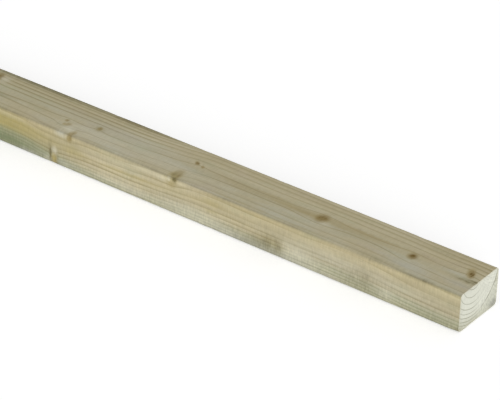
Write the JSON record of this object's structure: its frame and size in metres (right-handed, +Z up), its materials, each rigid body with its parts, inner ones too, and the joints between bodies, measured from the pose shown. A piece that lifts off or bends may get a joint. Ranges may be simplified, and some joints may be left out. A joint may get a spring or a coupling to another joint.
{
  "type": "planed timber batten",
  "caption": "Length of planed softwood timber with eased long edges and square sawn ends, lying flat on a wide face.",
  "frame": {"origin": "under the middle of the batten, on the wide face that it lies on", "axes": "+X along the grain towards the end that the picture shows, +Y across the wide face away from the viewer, +Z up through the thickness"},
  "size_m": [1.8, 0.07, 0.045],
  "materials": {
    "softwood": "planed, bare, with a faint green preservative tint"
  },
  "bodies": {
    "root": {"planed_batten": "softwood"}
  },
  "joints": []
}
